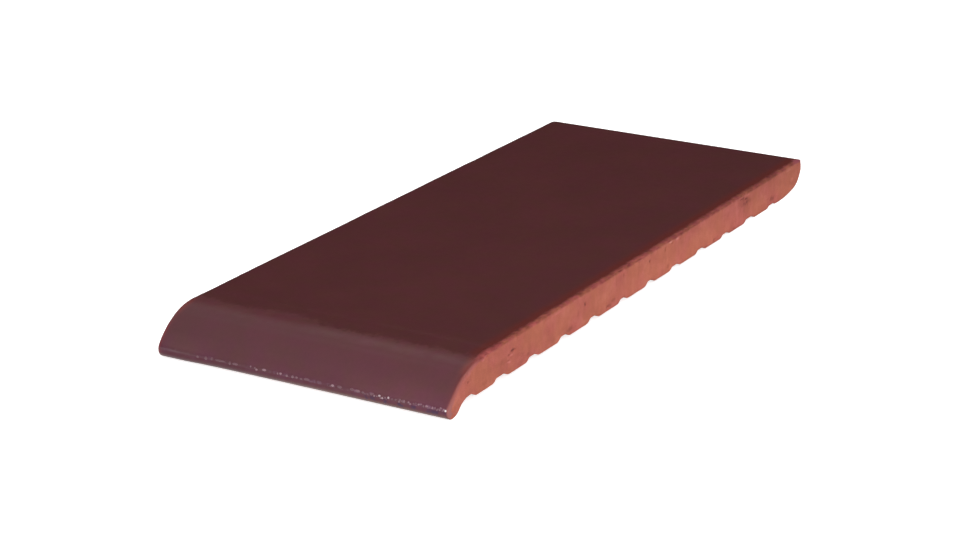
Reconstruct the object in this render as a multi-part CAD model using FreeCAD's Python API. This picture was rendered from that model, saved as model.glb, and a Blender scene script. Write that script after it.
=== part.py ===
import FreeCAD, Part
import math
import os

# Window-sill tile of extruded stoneware, glazed and fired in one piece: a flat weathering
# face, a bull nose with a lip and a drip throat, a grooved bedding side and a curved heel.
# Sizes are in millimetres and angles in radians.
#
# The section lies in the YZ plane. While it is drawn, Y = 0 is the tip of the nose, +Y runs
# to the back, and Z = 0 is the top face. It is pushed out along X, the width of the tile.

# Overall sizes
tile_width = 120.0  # between the two cut faces
tile_depth = 280.0  # tip of the nose to the back face
body_thickness = 12.75  # top face to the lands that the tile is bedded on
nose_height = 15.8  # top face to the bottom of the lip

# Nose: a large arc from the top face, a small one at the lip, and the throat behind it
nose_radius = 25.3
lip_radius = 3.2
lip_back_radius = 7.0
throat_radius = 9.0

# Bedding grooves: a level ceiling, and walls that are two opposite arcs
first_groove = 34.8  # tip of the nose to the middle of the first groove
groove_pitch = 21.65
groove_depth = 1.45
groove_ceiling = 3.2
groove_root_radius = 1.2
groove_shoulder_radius = 4.0

# Heel: a long shallow arc off the last land, a tighter one, and a soft edge to the back face
back_face_height = 4.3  # top face to the lower edge of the back face
back_arris_radius = 1.0
heel_run_in_radius = 71.0
heel_run_in_angle = math.radians(13.0)
heel_radius = 9.8
heel_edge_radius = 2.0

# Wire-cut sides
cut_edge_radius = 0.7

LEVEL = 0.0
UPRIGHT = math.pi / 2
HALF_TURN = math.pi
FLATNESS = 0.001  # a face that spans less than this along X is one of the cut faces


class Pen:
    """Draws a run of tangent lines and arcs in the YZ plane, Y to the right and Z up.

    The heading is the angle of travel from +Y towards +Z. A positive turn bends to the
    left, which is outward where the stoneware lies on the left of the line.
    """

    def __init__(self, y, z):
        self.y = y
        self.z = z
        self.heading = LEVEL
        self.edges = []

    def point(self):
        return FreeCAD.Vector(0, self.y, self.z)

    def line(self, length):
        start = self.point()
        self.y += length * math.cos(self.heading)
        self.z += length * math.sin(self.heading)
        self.edges.append(Part.LineSegment(start, self.point()).toShape())

    def line_to_depth(self, y):
        self.line((y - self.y) * math.cos(self.heading))

    def arc(self, radius, turn):
        reach = math.copysign(radius, turn)
        centre_y = self.y - reach * math.sin(self.heading)
        centre_z = self.z + reach * math.cos(self.heading)
        start = self.point()
        half_way = self.heading + turn / 2
        middle = FreeCAD.Vector(
            0, centre_y + reach * math.sin(half_way), centre_z - reach * math.cos(half_way)
        )
        self.heading += turn
        self.y = centre_y + reach * math.sin(self.heading)
        self.z = centre_z - reach * math.cos(self.heading)
        self.edges.append(Part.Arc(start, middle, self.point()).toShape())


def slope_of_two_arcs(rise, first_radius, second_radius):
    """Steepest angle of an S-curve of two opposite arcs that climbs by rise."""
    return math.acos(1 - rise / (first_radius + second_radius))


# Groove wall, from the ceiling down to the land
wall_slope = slope_of_two_arcs(groove_depth, groove_root_radius, groove_shoulder_radius)
wall_run = (groove_root_radius + groove_shoulder_radius) * math.sin(wall_slope)
half_mouth = groove_ceiling / 2 + wall_run

# Throat, from the bottom of the lip up to the level of the groove ceilings
ceiling_depth = body_thickness - groove_depth
throat_slope = slope_of_two_arcs(nose_height - ceiling_depth, lip_back_radius, throat_radius)

# Nose: the lip's arc touches the inside of the nose arc, which is tangent to the top face
lip_centre_depth = nose_height - lip_radius
nose_start = lip_radius + math.sqrt(
    (nose_radius - lip_radius) ** 2 - (nose_radius - lip_centre_depth) ** 2
)
nose_sweep = math.atan2(nose_start - lip_radius, nose_radius - lip_centre_depth)

# Heel: the slope at which its second arc meets the soft edge follows from the climb
run_in_rise = heel_run_in_radius * (1 - math.cos(heel_run_in_angle))
heel_rise = body_thickness - back_face_height - run_in_rise
heel_slope = math.acos(
    (heel_radius * math.cos(heel_run_in_angle) - heel_rise) / (heel_radius - heel_edge_radius)
)
heel_start = (
    tile_depth
    - heel_run_in_radius * math.sin(heel_run_in_angle)
    - heel_radius * (math.sin(heel_slope) - math.sin(heel_run_in_angle))
    - heel_edge_radius * (1 - math.sin(heel_slope))
)

# As many grooves as fit between the throat and the heel
groove_count = 1 + math.floor((heel_start - half_mouth - first_groove) / groove_pitch)
groove_middles = [first_groove + step * groove_pitch for step in range(groove_count)]


def draw_wall_up(pen):
    pen.arc(groove_shoulder_radius, wall_slope)
    pen.arc(groove_root_radius, -wall_slope)


def draw_wall_down(pen):
    pen.arc(groove_root_radius, -wall_slope)
    pen.arc(groove_shoulder_radius, wall_slope)


def draw_throat(pen):
    """From the bottom of the lip to the first land."""
    pen.arc(lip_back_radius, throat_slope)
    pen.arc(throat_radius, -throat_slope)
    pen.line(groove_ceiling / 2)
    draw_wall_down(pen)


def draw_grooves(pen):
    for middle in groove_middles:
        pen.line_to_depth(middle - half_mouth)
        draw_wall_up(pen)
        pen.line(groove_ceiling)
        draw_wall_down(pen)


def draw_heel(pen):
    """From the last land to the top face."""
    pen.line_to_depth(heel_start)
    pen.arc(heel_run_in_radius, heel_run_in_angle)
    pen.arc(heel_radius, heel_slope - heel_run_in_angle)
    pen.arc(heel_edge_radius, UPRIGHT - heel_slope)
    pen.line(back_face_height - back_arris_radius)
    pen.arc(back_arris_radius, UPRIGHT)


def draw_nose(pen):
    """Along the top face, round the nose and back to the bottom of the lip."""
    pen.line_to_depth(nose_start)
    pen.arc(nose_radius, nose_sweep)
    pen.arc(lip_radius, HALF_TURN - nose_sweep)


def make_section():
    pen = Pen(lip_radius, -nose_height)
    draw_throat(pen)
    draw_grooves(pen)
    draw_heel(pen)
    draw_nose(pen)
    return Part.Face(Part.Wire(pen.edges))


def round_cut_edges(blank):
    """Softens the arrises where the wire cut the tile from the column."""
    cut_faces = [face for face in blank.Faces if face.BoundBox.XLength < FLATNESS]
    cut_edges = [edge for face in cut_faces for edge in face.Edges]
    return blank.makeFillet(cut_edge_radius, cut_edges).Solids[0]


def resting_tilt():
    """Slope of the line that touches the lip's back arc and the heel's run-in from below."""
    between_y = heel_start - lip_radius
    between_z = (heel_run_in_radius - body_thickness) - (lip_back_radius - nose_height)
    distance = math.hypot(between_y, between_z)
    larger_by = heel_run_in_radius - lip_back_radius
    return math.atan2(between_z, between_y) - math.asin(larger_by / distance)


def lay_down(solid):
    """Turns the tile until lip and last land both touch the floor, and centres it there."""
    tilt = resting_tilt()

    def turned(y, z):
        return (
            y * math.cos(tilt) + z * math.sin(tilt),
            z * math.cos(tilt) - y * math.sin(tilt),
        )

    foremost = turned(lip_radius, -lip_centre_depth)[0] - lip_radius
    hindmost = turned(tile_depth - back_arris_radius, -back_arris_radius)[0] + back_arris_radius
    floor = turned(lip_radius, lip_back_radius - nose_height)[1] - lip_back_radius
    laid = solid.copy()
    laid.rotate(FreeCAD.Vector(), FreeCAD.Vector(1, 0, 0), -math.degrees(tilt))
    laid.translate(FreeCAD.Vector(0, -(foremost + hindmost) / 2, -floor))
    return laid


def make_tile():
    section = make_section()
    section.translate(FreeCAD.Vector(-tile_width / 2, 0, 0))
    blank = section.extrude(FreeCAD.Vector(tile_width, 0, 0))
    return lay_down(round_cut_edges(blank))


os.makedirs("parts", exist_ok=True)
sill_tile = make_tile()
sill_tile.exportStep("parts/sill_tile.step")
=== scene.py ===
import itertools
import math
import random
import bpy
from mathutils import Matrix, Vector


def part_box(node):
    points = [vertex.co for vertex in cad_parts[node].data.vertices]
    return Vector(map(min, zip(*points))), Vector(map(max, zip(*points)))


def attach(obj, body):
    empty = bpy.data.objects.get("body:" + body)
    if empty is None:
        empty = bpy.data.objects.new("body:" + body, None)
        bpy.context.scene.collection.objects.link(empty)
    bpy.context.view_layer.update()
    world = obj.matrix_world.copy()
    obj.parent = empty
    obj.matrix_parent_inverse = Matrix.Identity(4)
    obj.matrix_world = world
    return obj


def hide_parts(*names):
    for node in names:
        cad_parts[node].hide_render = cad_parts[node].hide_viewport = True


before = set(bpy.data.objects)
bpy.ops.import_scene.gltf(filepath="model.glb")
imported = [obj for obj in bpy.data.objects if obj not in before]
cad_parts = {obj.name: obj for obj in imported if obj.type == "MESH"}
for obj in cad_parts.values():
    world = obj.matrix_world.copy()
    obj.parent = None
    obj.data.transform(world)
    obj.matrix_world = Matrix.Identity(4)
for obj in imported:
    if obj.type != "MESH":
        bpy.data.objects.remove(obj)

from types import SimpleNamespace

import bmesh
import bpy
import numpy as np
from mathutils import Euler, Vector

# A clinker sill tile, dressed as it was fired: a satin glaze over the top face and the bull
# nose, and bare orange clay where the wire cut it and where it is bedded. One closed mesh
# stands for the whole tile, and a row of small drops of glaze sits along its lip.
#
# The tile is worked out in millimetres, in the frame in which its section is drawn: X across
# the width, Y = 0 at the tip of the nose and growing to the back, Z = 0 on the top face.

MM = 0.001
cad_low, cad_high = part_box("sill_tile")
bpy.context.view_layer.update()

# Sizes of the section, the same as the solid's
TILE_DEPTH = 280.0
BODY_THICKNESS = 12.75
NOSE_HEIGHT = 15.8
NOSE_RADIUS = 25.3
LIP_RADIUS = 3.2
LIP_BACK_RADIUS = 7.0
THROAT_RADIUS = 9.0
FIRST_GROOVE = 34.8
GROOVE_PITCH = 21.65
GROOVE_DEPTH = 1.45
GROOVE_CEILING = 3.2
GROOVE_ROOT_RADIUS = 1.2
GROOVE_SHOULDER_RADIUS = 4.0
BACK_FACE_HEIGHT = 4.3
BACK_ARRIS_RADIUS = 1.0
HEEL_RUN_IN_RADIUS = 71.0
HEEL_RUN_IN_ANGLE = math.radians(13.0)
HEEL_RADIUS = 9.8
HEEL_EDGE_RADIUS = 2.0
HALF_WIDTH = (cad_high.x - cad_low.x) / MM / 2

# Mesh density: columns along the tile, rows from bedding side to top face on a cut face
NOSE_COLUMNS = 64
BODY_COLUMNS = 560
HEEL_COLUMNS = 30
CUT_ROWS = 24
ROW_CROWDING = 1.25
ROUNDING_STEPS = 6
NOSE_ZONE_END = 26.0
HEEL_ZONE_START = 266.0
BEDDING_SAMPLES = 20000
OUTLINE_SAMPLES = 60001

# Distances in from a cut side at which the top and the bedding side have columns of points
INNER_COLUMNS = np.array([
    1.9, 2.5, 3.3, 4.5, 6.5, 9.5, 13.0, 17.5, 22.5, 28.0, 34.0, 40.0, 46.5, 53.0,
])

# Where the glaze stops: round the back arris, and short of the bottom of the lip
GLAZE_ROUND_BACK_ARRIS = 0.7
GLAZE_SHORT_OF_LIP = 1.3

# Depths of the soft relief on the glaze and on the bare clay
GLAZE_WAVES = 0.03
BEND_WAVES = 0.13
CLAY_RIPPLES = 0.04
CLAY_DRAG = 0.06

# How far the lip lies behind the drawn outline: more near its middle, less at its left end
LIP_RECESS = 0.16
LIP_LEAST_RECESS = -0.2
LIP_MIDDLE_BOW = 0.12
LIP_LEFT_BOW = 0.42

# The arris of a cut side, -1 for the left and 1 for the right: rounder under the glaze
GLAZED_ARRIS_RADIUS = {-1: 0.6, 1: 1.15}
GLAZED_BACK_ARRIS_RADIUS = 0.9
BARE_ARRIS_RADIUS = 0.35

# The line below the glaze at which the skin is torn off, and the step down to the clay
TORN_LINE = 0.48
TORN_STEP = 0.12

# How far the top corners at the back are rounded as seen from above, and down to what depth
BACK_CORNER_RADIUS = {-1: 3.8, 1: 1.3}
BACK_CORNER_DEPTH = 4.0

# How far from their zero the lengths that the materials read are kept
GLAZE_REACH = 8.0
NOSE_REACH = (-12.0, 40.0)

# Each groove as the drag of clay left it: front wall and back wall moved back, ceiling lower
GROOVES = [
    (-1.0, 0.6, 0.1),
    (-0.5, -0.1, 0.1),
    (0.0, -0.1, 0.0),
    (0.0, 0.0, 0.0),
    (1.3, 0.3, 0.1),
    (1.1, 0.3, 0.0),
    (-0.8, 0.2, 0.35),
    (-0.4, 0.0, 0.2),
    (-0.2, 0.1, 0.4),
    (-0.4, 1.3, 0.25),
    (-0.5, 0.1, 0.6),
]

# Marks on the right-hand cut face: Y, Z, half length, half height, depth in millimetres
CRACKS = [
    (43.0, -4.8, 1.5, 0.45, 0.5),
    (40.4, -5.6, 0.7, 0.35, 0.45),
    (41.6, -6.6, 0.6, 0.6, 0.35),
    (40.1, -8.1, 0.9, 0.5, 0.45),
    (13.6, -6.4, 0.8, 0.5, 0.2),
    (10.0, -4.6, 0.8, 0.5, 0.3),
    (94.2, -4.7, 0.7, 0.6, 0.4),
    (143.6, -3.6, 0.8, 0.6, 0.35),
    (156.6, -2.6, 0.7, 1.0, 0.35),
    (110.6, -11.4, 1.2, 0.7, 0.5),
    (162.4, -1.7, 1.2, 0.4, 0.3),
    (198.5, -11.6, 0.9, 0.5, 0.4),
    (216.0, -11.9, 0.9, 0.5, 0.4),
    (26.0, -0.9, 1.2, 0.7, 0.45),
    (224.0, -2.0, 4.0, 0.5, 0.2),
    (67.5, -1.3, 2.4, 0.35, 0.4),
    (46.3, -1.2, 0.8, 0.5, 0.35),
    (120.6, -0.8, 2.4, 0.4, 0.35),
    (135.5, -0.9, 4.0, 0.35, 0.3),
]

# Stains and painted shade on the same face: Y, Z, half length, half height, and how much darker or
# lighter. Over the cracks and pits the dark marks are painted shade, and the light ones beside them
# painted light on their rims
STAINS_AND_PIT_SHADE = [
    (43.0, -4.9, 1.8, 0.5, -0.95),
    (40.4, -5.7, 0.8, 0.4, -0.8),
    (41.8, -6.3, 1.2, 0.25, 0.5),
    (40.4, -8.4, 1.1, 0.25, 0.5),
    (39.8, -7.7, 0.8, 0.35, -0.6),
    (13.7, -6.4, 0.6, 0.4, -0.6),
    (11.0, -5.2, 0.5, 0.4, -0.35),
    (9.6, -4.4, 1.0, 0.5, -0.3),
    (5.5, -9.8, 3.4, 2.2, 0.3),
    (25.6, -0.4, 1.1, 0.4, -0.5),
    (24.0, -10.6, 2.4, 0.9, -0.25),
    (53.0, -9.8, 1.2, 0.8, -0.3),
    (73.5, -1.5, 3.0, 0.25, 0.3),
    (79.0, -10.8, 2.0, 0.6, -0.15),
    (82.6, -10.3, 2.2, 1.0, -0.45),
    (88.6, -6.4, 0.8, 1.4, -0.25),
    (94.0, -4.7, 0.8, 0.9, -0.85),
    (93.4, -11.0, 1.8, 0.6, 0.25),
    (111.2, -11.0, 2.0, 0.9, -0.45),
    (115.2, -9.9, 2.0, 0.7, -0.3),
    (120.6, -0.5, 1.6, 0.35, -0.7),
    (123.0, -2.6, 0.6, 0.9, -0.4),
    (117.5, -3.5, 0.5, 2.2, -0.2),
    (135.5, -0.6, 3.6, 0.3, -0.6),
    (143.6, -3.5, 0.7, 0.7, -0.7),
    (156.5, -2.7, 0.7, 1.1, -0.6),
    (158.5, -10.2, 1.3, 1.0, -0.3),
    (160.6, -1.1, 1.6, 0.5, 0.8),
    (166.0, -1.3, 1.5, 0.7, 0.55),
    (168.6, -2.1, 0.8, 0.6, -0.35),
    (162.2, -1.9, 1.2, 0.3, -0.35),
    (198.0, -11.5, 1.3, 0.5, -0.5),
    (216.0, -11.8, 0.9, 0.5, -0.5),
    (223.5, -1.6, 2.6, 0.4, -0.7),
    (226.5, -2.5, 2.4, 0.6, -0.35),
    (229.0, -1.4, 2.0, 0.22, 0.3),
    (228.0, -3.8, 3.0, 1.6, -0.55),
    (227.0, -7.0, 3.4, 4.0, -0.22),
    (248.0, -8.7, 2.0, 0.35, -0.3),
    (251.3, -9.3, 2.4, 1.3, -0.55),
    (267.8, -1.8, 2.6, 0.4, 0.3),
    (271.0, -6.8, 1.2, 1.0, 0.35),
    # Broad, soft tones
    (31.0, -8.0, 8.0, 3.0, -0.14),
    (37.0, -6.8, 2.5, 1.6, -0.25),
    (47.5, -9.6, 2.6, 1.6, 0.18),
    (104.0, -7.0, 5.0, 3.0, 0.14),
    (114.5, -6.0, 3.0, 2.4, 0.14),
    (136.5, -3.5, 3.0, 3.6, -0.20),
    (157.5, -6.0, 3.0, 3.0, 0.12),
    (175.0, -3.2, 4.0, 1.8, 0.14),
    (208.5, -5.0, 3.0, 2.4, -0.16),
    (223.5, -3.2, 3.5, 2.5, -0.30),
    (240.0, -7.5, 6.0, 2.6, 0.12),
]


class Outline:
    """A run of tangent lines and arcs in the YZ plane, looked up by the length run so far."""

    def __init__(self, y, z):
        self.end = (y, z, 0.0)
        self.length = 0.0
        self.pieces = []

    def add(self, length, bend):
        y, z, heading = self.end
        self.pieces.append((self.length, y, z, heading, bend))
        self.length += length
        point, angle = self.at(np.array([self.length]))
        self.end = (point[0, 0], point[0, 1], angle[0])

    def line(self, length):
        self.add(length, 0.0)

    def arc(self, radius, turn):
        self.add(radius * abs(turn), math.copysign(1 / radius, turn))

    def at(self, run):
        """Points (Y, Z) and headings at these lengths along the outline."""
        pieces = np.array(self.pieces)
        which = np.searchsorted(pieces[:, 0], run, side="right") - 1
        start, y, z, heading, bend = pieces[np.clip(which, 0, len(pieces) - 1)].T
        along = run - start
        angle = heading + bend * along
        chord = along * np.sinc(bend * along / 2 / math.pi)
        middle = (heading + angle) / 2
        return np.column_stack([y + chord * np.cos(middle), z + chord * np.sin(middle)]), angle


def slope_of_two_arcs(rise, first_radius, second_radius):
    return math.acos(1 - rise / (first_radius + second_radius))


LIP_DEPTH = NOSE_HEIGHT - LIP_RADIUS
NOSE_START = LIP_RADIUS + math.sqrt(
    (NOSE_RADIUS - LIP_RADIUS) ** 2 - (NOSE_RADIUS - LIP_DEPTH) ** 2
)
NOSE_SWEEP = math.atan2(NOSE_START - LIP_RADIUS, NOSE_RADIUS - LIP_DEPTH)
RUN_IN_RISE = HEEL_RUN_IN_RADIUS * (1 - math.cos(HEEL_RUN_IN_ANGLE))
HEEL_RISE = BODY_THICKNESS - BACK_FACE_HEIGHT - RUN_IN_RISE
HEEL_SLOPE = math.acos(
    (HEEL_RADIUS * math.cos(HEEL_RUN_IN_ANGLE) - HEEL_RISE) / (HEEL_RADIUS - HEEL_EDGE_RADIUS)
)
HEEL_START = (
    TILE_DEPTH
    - HEEL_RUN_IN_RADIUS * math.sin(HEEL_RUN_IN_ANGLE)
    - HEEL_RADIUS * (math.sin(HEEL_SLOPE) - math.sin(HEEL_RUN_IN_ANGLE))
    - HEEL_EDGE_RADIUS * (1 - math.sin(HEEL_SLOPE))
)


def resting_tilt():
    """Slope of the line that touches the lip's back arc and the heel's run-in from below."""
    between_y = HEEL_START - LIP_RADIUS
    between_z = (HEEL_RUN_IN_RADIUS - BODY_THICKNESS) - (LIP_BACK_RADIUS - NOSE_HEIGHT)
    larger_by = HEEL_RUN_IN_RADIUS - LIP_BACK_RADIUS
    distance = math.hypot(between_y, between_z)
    return math.atan2(between_z, between_y) - math.asin(larger_by / distance)


RESTING_TILT = resting_tilt()


def draw_outline():
    """The tile's section from the bottom of the lip, round the bedding side, back and top."""
    throat_rise = NOSE_HEIGHT - BODY_THICKNESS + GROOVE_DEPTH
    throat = slope_of_two_arcs(throat_rise, LIP_BACK_RADIUS, THROAT_RADIUS)
    outline = Outline(LIP_RADIUS, -NOSE_HEIGHT)
    marks = {}

    def wall_down(slope):
        outline.arc(GROOVE_ROOT_RADIUS, -slope)
        outline.arc(GROOVE_SHOULDER_RADIUS, slope)

    outline.arc(LIP_BACK_RADIUS, throat)
    outline.arc(THROAT_RADIUS, -throat)
    outline.line(GROOVE_CEILING / 2)
    wall_down(slope_of_two_arcs(GROOVE_DEPTH, GROOVE_ROOT_RADIUS, GROOVE_SHOULDER_RADIUS))
    for groove, (front, back, lower) in enumerate(GROOVES):
        slope = slope_of_two_arcs(GROOVE_DEPTH - lower, GROOVE_ROOT_RADIUS, GROOVE_SHOULDER_RADIUS)
        wall_run = (GROOVE_ROOT_RADIUS + GROOVE_SHOULDER_RADIUS) * math.sin(slope)
        ceiling_start = FIRST_GROOVE + groove * GROOVE_PITCH - GROOVE_CEILING / 2 + front
        outline.line(ceiling_start - wall_run - outline.end[0])
        outline.arc(GROOVE_SHOULDER_RADIUS, slope)
        outline.arc(GROOVE_ROOT_RADIUS, -slope)
        outline.line(GROOVE_CEILING + back - front)
        wall_down(slope)
    outline.line(HEEL_START - outline.end[0])
    outline.arc(HEEL_RUN_IN_RADIUS, HEEL_RUN_IN_ANGLE)
    outline.arc(HEEL_RADIUS, HEEL_SLOPE - HEEL_RUN_IN_ANGLE)
    marks["heel_end"] = outline.length
    outline.arc(HEEL_EDGE_RADIUS, math.pi / 2 - HEEL_SLOPE)
    outline.line(BACK_FACE_HEIGHT - BACK_ARRIS_RADIUS)
    outline.arc(BACK_ARRIS_RADIUS, math.pi / 2)
    marks["top_start"] = outline.length
    outline.line(outline.end[0] - NOSE_START)
    marks["nose_start"] = outline.length
    outline.arc(NOSE_RADIUS, NOSE_SWEEP)
    marks["lip_start"] = outline.length
    outline.arc(LIP_RADIUS, math.pi - NOSE_SWEEP)
    marks["end"] = outline.length
    return outline, marks


outline, marks = draw_outline()


def smoothstep(low, high, value):
    t = np.clip((value - low) / (high - low), 0.0, 1.0)
    return t * t * (3 - 2 * t)


# Numbers that stir the bits of a whole number until it looks random
SEED_STRIDE = 7919
SEED_OFFSET = 12345
FIRST_STIR = np.uint32(2654435761)
SECOND_STIR = np.uint32(2246822519)
FIRST_FOLD = np.uint32(15)
SECOND_FOLD = np.uint32(13)
WHOLE_NUMBERS = 2**32


def hashed(cells, seed):
    """A repeatable random value from -1 to 1 for each row of whole numbers."""
    start = (seed * SEED_STRIDE + SEED_OFFSET) % WHOLE_NUMBERS
    mixed = np.full(cells.shape[:-1], start, np.uint32)
    for axis in range(cells.shape[-1]):
        mixed = (mixed ^ cells[..., axis].astype(np.int64).astype(np.uint32)) * FIRST_STIR
        mixed ^= mixed >> FIRST_FOLD
        mixed *= SECOND_STIR
        mixed ^= mixed >> SECOND_FOLD
    return mixed / (WHOLE_NUMBERS / 2) - 1


def noise(seed, *axes_and_sizes):
    """Smooth random values from -1 to 1; each axis comes with the size of its lumps."""
    cells = np.stack(np.broadcast_arrays(*[axis / size for axis, size in axes_and_sizes]), -1)
    base = np.floor(cells)
    ease = smoothstep(0.0, 1.0, cells - base)
    total = np.zeros(cells.shape[:-1])
    for corner in itertools.product((0, 1), repeat=cells.shape[-1]):
        share = np.prod(np.where(corner, ease, 1 - ease), axis=-1)
        total += share * hashed(base + corner, seed)
    return total


def spread(low, high, value):
    """1 between two lengths, easing to 0 on both sides of them."""
    return smoothstep(low - 1.0, low + 1.0, value) * smoothstep(high + 1.0, high - 1.0, value)


# Ring of section points: the bedding side, the back, the top with the nose, and the lip
def chain_runs():
    """Lengths along the outline of the lower and upper ends of the columns of a cut face."""
    dense_run = np.linspace(0.0, marks["heel_end"], BEDDING_SAMPLES)
    dense_y = outline.at(dense_run)[0][:, 0]

    def lower(y):
        return np.interp(y, dense_y, dense_run)

    def upper(y):
        return marks["nose_start"] + NOSE_START - y

    nose = np.linspace(0, 1, NOSE_COLUMNS, endpoint=False)
    body = np.linspace(NOSE_ZONE_END, HEEL_ZONE_START, BODY_COLUMNS, endpoint=False)
    heel = np.linspace(0, 1, HEEL_COLUMNS + 1)
    low = np.concatenate([
        nose * lower(NOSE_ZONE_END),
        lower(body),
        lower(HEEL_ZONE_START) + heel * (marks["heel_end"] - lower(HEEL_ZONE_START)),
    ])
    high = np.concatenate([
        marks["lip_start"] + nose * (upper(NOSE_ZONE_END) - marks["lip_start"]),
        upper(body),
        upper(HEEL_ZONE_START) + heel * (marks["top_start"] - upper(HEEL_ZONE_START)),
    ])
    return low, high


low_run, high_run = chain_runs()
LAST = len(low_run) - 1
row_share = 1 - (1 - np.linspace(0, 1, CUT_ROWS + 1)) ** ROW_CROWDING
back_run = low_run[-1] + row_share * (high_run[-1] - low_run[-1])
front_run = marks["end"] - row_share * (marks["end"] - high_run[0])
ring_run = np.concatenate([low_run, back_run[1:-1], high_run[::-1], front_run[-2:0:-1]])
RING = len(ring_run)
ring_point, ring_heading = outline.at(ring_run)
ring_normal = np.column_stack([np.sin(ring_heading), -np.cos(ring_heading)])

glaze_back = marks["top_start"] - GLAZE_ROUND_BACK_ARRIS
glaze_front = marks["end"] - GLAZE_SHORT_OF_LIP
ring_glaze = np.where(
    ring_run > glaze_back,
    np.minimum(ring_run - glaze_back, glaze_front - ring_run),
    -np.minimum(glaze_back - ring_run, ring_run + GLAZE_SHORT_OF_LIP),
)
ring_nose = ring_run - marks["nose_start"]


def depth_below_glaze(y, z):
    """How far a point of the section lies below the top face, the nose or the lip."""
    from_nose_centre = np.hypot(y - NOSE_START, z + NOSE_RADIUS)
    turn = np.arctan2(NOSE_START - y, z + NOSE_RADIUS)
    in_front = LIP_RADIUS - np.hypot(y - LIP_RADIUS, z + LIP_DEPTH)
    behind = y - np.abs(z + LIP_DEPTH)
    lip = np.where(y < LIP_RADIUS, in_front, behind)
    nose = np.where(turn < NOSE_SWEEP, NOSE_RADIUS - from_nose_centre, lip)
    return np.where(y > NOSE_START, -z, nose)


def torn_line(side, y, z):
    """How far below the glazed outline the skin of a cut side is torn off."""
    seed = 40 + side
    return TORN_LINE + (
        0.4 * noise(seed, (y, 6.0), (z, 9.0))
        + 0.4 * noise(seed + 5, (y, 2.1), (z, 3.0))
        + 0.3 * noise(seed + 10, (y, 0.9), (z, 1.3))
    )


def oval(y, z, mark):
    """1 in the middle of an oval mark, falling to 0 at its rim."""
    middle_y, middle_z, half_length, half_height = mark[:4]
    ragged = 1 + 0.35 * noise(77, (y, 0.8), (z, 0.8))
    away = np.hypot((y - middle_y) / half_length, (z - middle_z) / half_height) / ragged
    return smoothstep(1.25, 0.35, away)


def stain_and_shade_at(y, z):
    """How much the stains, and the painted shade and light at the pits, darken or lighten the
    right-hand cut side.
    """
    return sum(mark[4] * oval(y, z, mark) for mark in STAINS_AND_PIT_SHADE)


def random_marks(seed, count):
    """Small pits strewn over a cut face."""
    dice = random.Random(seed)
    return [
        (
            dice.uniform(4.0, 272.0),
            dice.uniform(-11.5, -2.0),
            dice.uniform(0.4, 1.0),
            dice.uniform(0.35, 0.8),
            dice.uniform(0.08, 0.28),
        )
        for _ in range(count)
    ]


PITS = {1: CRACKS + random_marks(3, 26), -1: random_marks(11, 50)}


def cut_relief(side, y, z):
    """How far the wire and its crumbs sank a cut face below its plane, never proud of it."""
    seed = 60 + side
    drag = (
        0.03 * noise(seed, (y, 1.5), (z, 12.0))
        + 0.05 * noise(seed + 3, (y, 4.4), (z, 18.0))
        + 0.05 * noise(seed + 6, (y, 2.6), (z, 3.0))
        + 0.03 * noise(seed + 9, (y, 0.9), (z, 0.9))
    )
    below = depth_below_glaze(y, z) - torn_line(side, y, z)
    clay = smoothstep(-0.1, 0.25, below)
    step = TORN_STEP * smoothstep(8.0, 18.0, y)
    relief = 0.02 + clay * (step + 0.08 + drag)
    for mark in PITS[side]:
        relief = relief + mark[4] * oval(y, z, mark)
    return np.maximum(relief, 0.0)


def edge_radius(side):
    """Rounding of a cut side's arris at each point of the ring."""
    glazed = smoothstep(-1.5, 1.5, ring_glaze)
    worn = 0.22 * noise(80 + side, (ring_run, 9.0)) + 0.12 * noise(83 + side, (ring_run, 2.6))
    along = BARE_ARRIS_RADIUS + glazed * (GLAZED_ARRIS_RADIUS[side] - BARE_ARRIS_RADIUS)
    along = along * (1 + worn)
    at_back = BARE_ARRIS_RADIUS + glazed * (GLAZED_BACK_ARRIS_RADIUS - BARE_ARRIS_RADIUS)
    near_back = spread(marks["heel_end"], marks["top_start"], ring_run)
    return along + near_back * (at_back - along)


def lip_recess(x, lumps=1.0):
    """How far the lip lies behind the drawn outline, with the share that its lumps add."""
    middle = LIP_MIDDLE_BOW * smoothstep(38.0, 6.0, np.abs(x + 4.0))
    bow = middle - LIP_LEFT_BOW * smoothstep(-34.0, -54.0, x)
    return np.maximum(LIP_RECESS * lumps + bow, LIP_LEAST_RECESS)


def face_relief(x):
    """How far the faces beside the cuts lie below the drawn outline, at each ring point."""
    run = ring_run[:, None]
    glazed = smoothstep(-1.0, 1.0, ring_glaze)[:, None]
    bare = 1 - glazed
    waves = 0.5 + 0.25 * noise(90, (x, 17.0), (run, 23.0)) + 0.25 * noise(91, (x, 7.0), (run, 9.0))
    at_bend = spread(-7.0, 7.0, ring_nose[:, None] / 1.4)
    bend = 0.5 + 0.3 * noise(97, (x, 15.0), (run, 9.0)) + 0.2 * noise(98, (x, 5.0), (run, 5.0))
    bend = bend * smoothstep(-59.0, -50.0, x)
    ripples = 0.5 + 0.5 * noise(92, (x, 55.0), (run, 0.9))
    drag = 0.5 + 0.3 * noise(93, (x, 70.0), (run, 2.7)) + 0.2 * noise(94, (x, 9.0), (run, 1.4))
    lip = smoothstep(18.0, 26.0, ring_nose[:, None])
    lumps = 1 + 0.25 * noise(95, (x, 1.5), (run, 1.3)) + 0.2 * noise(96, (x, 5.0), (run, 3.0))
    sunk_glaze = GLAZE_WAVES * waves + BEND_WAVES * at_bend * bend + lip * lip_recess(x, lumps)
    return glazed * sunk_glaze + bare * (CLAY_RIPPLES * ripples + CLAY_DRAG * drag)


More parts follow.
